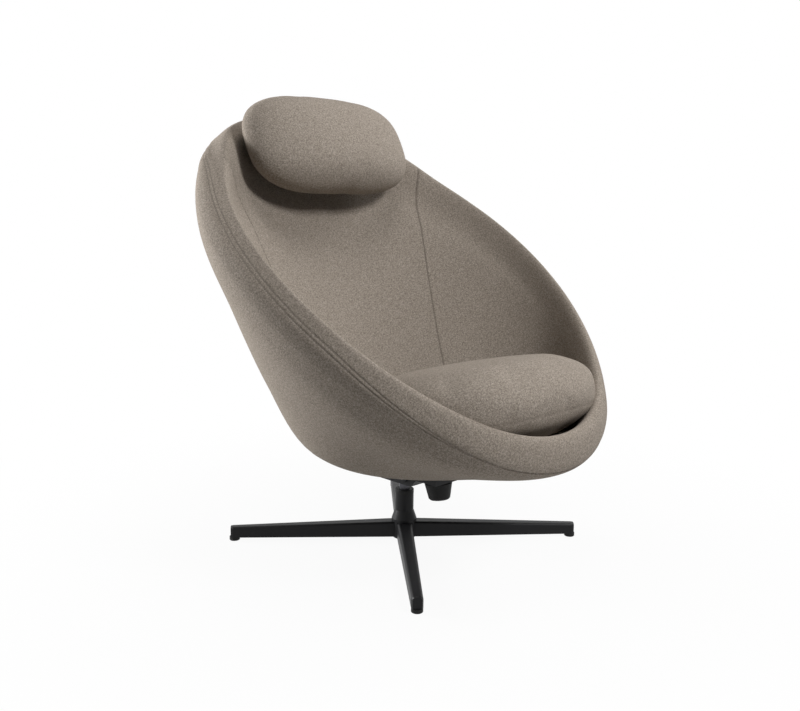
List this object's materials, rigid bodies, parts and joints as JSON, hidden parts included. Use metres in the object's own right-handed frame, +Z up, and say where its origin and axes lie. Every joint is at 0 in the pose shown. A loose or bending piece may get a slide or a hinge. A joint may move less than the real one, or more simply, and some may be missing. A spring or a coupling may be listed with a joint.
{
  "type": "lounge chair",
  "caption": "Swivelling lounge chair: padded bowl seat with loose cushion and pillow headrest, tilt mechanism with tension knob, straight-legged star base.",
  "frame": {"origin": "On the floor under the middle of the chair, on the swivel axis of the column.", "axes": "+Z up, the seat faces -Y at rest, +X is the sitter's left."},
  "size_m": [0.864, 0.8889, 0.9857],
  "materials": {
    "woven_fabric": "heathered taupe weave",
    "grip_fabric": "black hook-and-loop pile",
    "black_metal": "matt black powder coat",
    "black_plastic": "fine-grained black",
    "zinc_steel": "bright zinc",
    "spring_steel": "oiled dark steel",
    "black_rubber": "matt",
    "board_wood": "raw plywood"
  },
  "bodies": {
    "base": {"base_hub": "black_metal", "leg_front_left": "black_metal", "leg_rear_left": "black_metal", "leg_rear_right": "black_metal", "leg_front_right": "black_metal", "glide_front_left": "black_plastic", "glide_rear_left": "black_plastic", "glide_rear_right": "black_plastic", "glide_front_right": "black_plastic", "leg_screws": "zinc_steel", "hub_cap": "black_plastic", "lower_sleeve": "black_plastic", "upper_sleeve": "black_plastic", "thrust_washer": "zinc_steel"},
    "column": {"spindle": "zinc_steel", "spindle_washer": "zinc_steel", "spindle_screw": "zinc_steel", "tilt_housing": "black_metal", "tilt_axle": "zinc_steel", "axle_clips": "zinc_steel", "front_bumpers": "black_rubber", "tension_spring": "spring_steel"},
    "knob": {"tension_knob": "black_plastic", "tension_screw": "zinc_steel", "knob_washer": "zinc_steel"},
    "nut": {"tension_nut": "zinc_steel"},
    "seat": {"tilt_bush_right": "black_plastic", "tilt_bush_left": "black_plastic", "seat_plate": "black_metal", "seat_board": "board_wood", "tee_nuts": "zinc_steel", "seat_bolts": "zinc_steel", "shell_body": "woven_fabric", "seat_cushion": "woven_fabric", "headrest_grip": "grip_fabric"},
    "headrest": {"headrest": "woven_fabric"}
  },
  "joints": [
    {"name": "swivel", "type": "hinge", "parent": "base", "child": "column", "pos_m": [0, 0, 0.1], "axis": [0, 0, 1], "continuous": true},
    {"name": "tilt", "type": "hinge", "parent": "column", "child": "seat", "pos_m": [0, -0.038, 0.164], "axis": [-1, 0, 0], "range_deg": [0, 12], "stiffness_Nm_per_rad": 150, "springref_deg": -34.38, "deforming": ["tension_spring"]},
    {"name": "tension_turn", "type": "hinge", "parent": "column", "child": "knob", "pos_m": [0, -0.105, 0.136], "axis": [0, 0.1219, 0.9925], "range_deg": [0, 1440]},
    {"name": "nut_travel", "type": "slide", "parent": "column", "child": "nut", "axis": [0, 0.1219, 0.9925], "range_m": [0, 0.006]},
    {"name": "headrest_height", "type": "slide", "parent": "seat", "child": "headrest", "axis": [0, 0.5, 0.866], "range_m": [-0.03, 0.03]}
  ],
  "couplings": [
    {"joint": "nut_travel", "follows": "tension_turn", "m_per_rad": 0.00023873}
  ]
}
